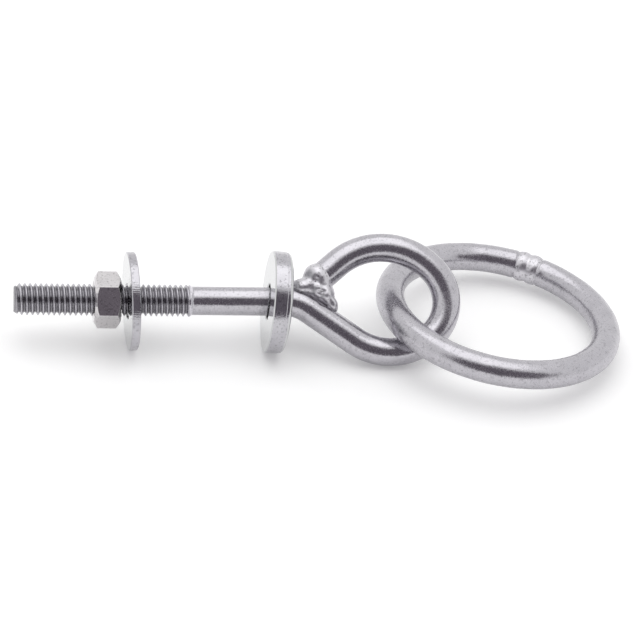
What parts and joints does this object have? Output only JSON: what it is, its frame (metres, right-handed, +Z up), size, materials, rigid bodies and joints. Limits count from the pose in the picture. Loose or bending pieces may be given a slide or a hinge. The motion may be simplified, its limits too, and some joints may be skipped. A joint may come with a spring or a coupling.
{
  "type": "ring bolt",
  "caption": "Threaded stainless eye bolt with a welded eye, a loose welded ring linked through it, a thick collar, a flat washer and a nut.",
  "frame": {"origin": "on the bolt's axis, at the collar's bearing face, where the bolt goes into what it is fixed to", "axes": "+X along the bolt towards the eye and the ring, +Z up from the level surface that the part lies on, +Y completes the frame"},
  "size_m": [0.1158, 0.0474, 0.0196],
  "materials": {
    "bolt_steel": "tumbled satin stainless rod with a bright rolled thread and an uneven, untreated weld at the neck",
    "collar_steel": "polished faces and a fine-ground rim",
    "washer_steel": "punched flat washer, bright faces and a finely ribbed rim",
    "nut_steel": "bright cold-formed nut, slightly warm in tone",
    "ring_steel": "tumbled satin stainless rod with small pits and a rippled butt weld"
  },
  "bodies": {
    "bolt": {"eye_bolt": "bolt_steel"},
    "collar": {"collar": "collar_steel"},
    "flat_washer": {"flat_washer": "washer_steel"},
    "hex_nut": {"hex_nut": "nut_steel"},
    "ring": {"ring": "ring_steel"}
  },
  "joints": [
    {"name": "collar_slide", "type": "slide", "parent": "bolt", "child": "collar", "axis": [-1, 0, 0], "range_m": [0, 0.0102]},
    {"name": "washer_slide", "type": "slide", "parent": "bolt", "child": "flat_washer", "axis": [1, 0, 0], "range_m": [-0.013, 0.013]},
    {"name": "nut_turn", "type": "hinge", "parent": "flat_washer", "child": "hex_nut", "pos_m": [-0.03007, 0, 0], "axis": [1, 0, 0], "range_deg": [-4710, 4710]},
    {"name": "ring_swing", "type": "hinge", "parent": "bolt", "child": "ring", "pos_m": [0.02406, -0.00103, -0.00106], "axis": [-1, 0, 0], "range_deg": [0, 86]}
  ],
  "couplings": [
    {"joint": "nut_turn", "follows": "washer_slide", "rad_per_m": 6283.2}
  ]
}
